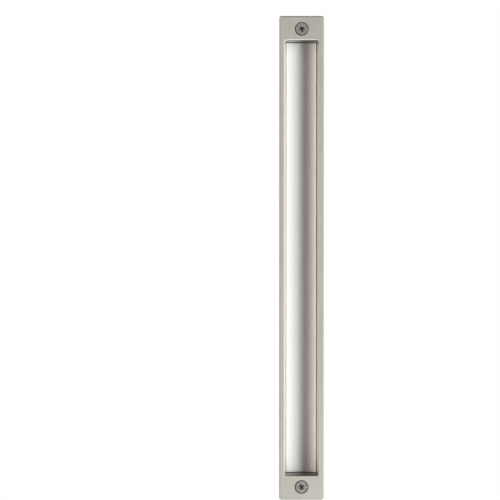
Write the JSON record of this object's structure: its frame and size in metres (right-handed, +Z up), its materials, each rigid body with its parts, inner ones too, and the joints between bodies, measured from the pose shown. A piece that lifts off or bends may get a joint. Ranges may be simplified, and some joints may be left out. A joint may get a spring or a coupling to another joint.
{
  "type": "long door pull",
  "caption": "Long flush door pull: a slim rounded face plate with a recessed concave trough to slide a door by, fixed by countersunk screws at its ends.",
  "frame": {"origin": "middle of the face plate's back, on the surface of the door", "axes": "+X across the pull to the right as seen from the front, +Y into the door, +Z up along the pull"},
  "size_m": [0.0276, 0.0352, 0.3],
  "materials": {
    "satin_nickel": "fine satin nickel plating on die-cast zinc alloy",
    "satin_aluminium": "blasted and clear anodised extruded aluminium",
    "zinc_steel": "bright zinc plating on steel"
  },
  "bodies": {
    "root": {"frame": "satin_nickel", "trough": "satin_aluminium", "screw_top": "zinc_steel", "screw_bottom": "zinc_steel", "trough_screw_top": "zinc_steel", "trough_screw_middle": "zinc_steel", "trough_screw_bottom": "zinc_steel"}
  },
  "joints": []
}
